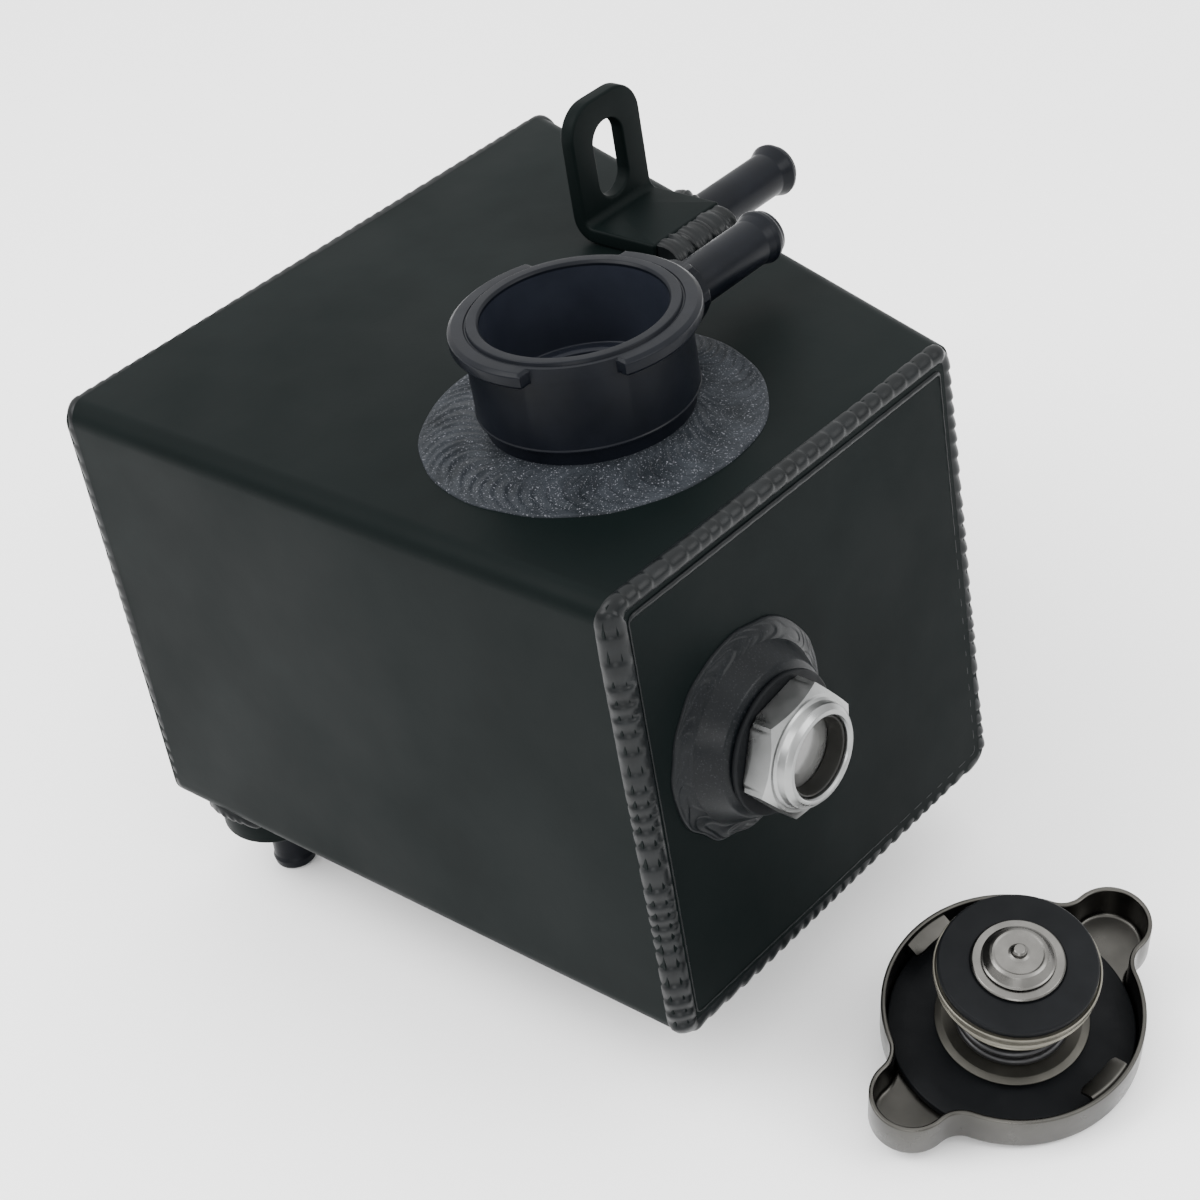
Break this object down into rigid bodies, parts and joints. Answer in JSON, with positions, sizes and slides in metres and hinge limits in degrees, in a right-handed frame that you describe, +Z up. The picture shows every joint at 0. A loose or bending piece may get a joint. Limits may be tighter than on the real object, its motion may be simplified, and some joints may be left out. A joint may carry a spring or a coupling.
{
  "type": "coolant header tank with pressure cap",
  "caption": "Welded black aluminium coolant header tank, deeper at one end, with filler neck, overflow tail, slotted L bracket, hose tails, hex level glass, and its pressure cap lying upside down beside it.",
  "frame": {"origin": "the middle of the mounting bracket's slot, on the bracket's outer face, where the bolt that carries the tank goes through", "axes": "+Z up, square to the tank's flat top and out of the filler neck; +X along the front face towards the end with the sight glass; +Y from the front face to the back"},
  "size_m": [0.2511, 0.1876, 0.178],
  "materials": {
    "powder_coat": "satin black powder coat on welded aluminium sheet",
    "weld_coat": "black powder coat over rippled weld beads",
    "neck_coat": "smooth blue-black coat on machined aluminium",
    "black_rubber": "matt black moulded rubber",
    "zinc_plate": "bright machined and plated metal",
    "grey_glass": "smoky grey glass",
    "nickel": "warm grey nickel plate on pressed steel",
    "gold_chromate": "dull yellow chromate on pressed steel",
    "spring_steel": "dark oiled spring steel"
  },
  "bodies": {
    "tank": {"tank_wrap": "powder_coat", "end_plate_left": "powder_coat", "end_plate_right": "powder_coat", "mounting_bracket": "powder_coat", "return_tail": "powder_coat", "outlet_bung": "powder_coat", "outlet_tail": "powder_coat", "end_bead_left": "weld_coat", "end_bead_right": "weld_coat", "wrap_seam_bead": "weld_coat", "filler_neck_weld": "weld_coat", "bracket_weld": "weld_coat", "return_tail_weld": "weld_coat", "outlet_bung_weld": "weld_coat", "sight_boss_weld": "weld_coat", "filler_neck": "neck_coat", "overflow_spigot": "neck_coat", "sight_boss": "neck_coat", "sight_seal": "black_rubber", "sight_retainer": "black_rubber", "sight_body": "zinc_plate", "sight_window": "grey_glass"},
    "cap": {"cap_shell": "nickel", "cap_gasket": "black_rubber", "cap_diaphragm": "spring_steel", "cap_rivet": "nickel"},
    "cap_stem": {"cap_bell": "gold_chromate", "pressure_spring": "spring_steel"},
    "pressure_valve": {"pressure_plate": "gold_chromate", "pressure_seal": "black_rubber", "seal_retainer": "nickel", "vacuum_spring": "spring_steel"},
    "vacuum_relief": {"vacuum_valve": "nickel", "vacuum_washer": "nickel"}
  },
  "joints": [
    {"name": "cap_lift", "type": "slide", "parent": "tank", "child": "cap", "axis": [0.2488, -0.1598, 0.9553], "range_m": [0, 0.19]},
    {"name": "stem_swivel", "type": "hinge", "parent": "cap", "child": "cap_stem", "pos_m": [0.1582, -0.07425, -0.15144], "axis": [0.2488, -0.1598, 0.9553], "continuous": true},
    {"name": "pressure_valve_slide", "type": "slide", "parent": "cap_stem", "child": "pressure_valve", "axis": [0.2488, -0.1598, 0.9553], "range_m": [-0.004, 0], "stiffness_N_per_m": 3000, "deforming": ["pressure_spring"]},
    {"name": "vacuum_valve_slide", "type": "slide", "parent": "pressure_valve", "child": "vacuum_relief", "axis": [0.2488, -0.1598, 0.9553], "range_m": [0, 0.0014], "stiffness_N_per_m": 200, "deforming": ["vacuum_spring"]}
  ]
}
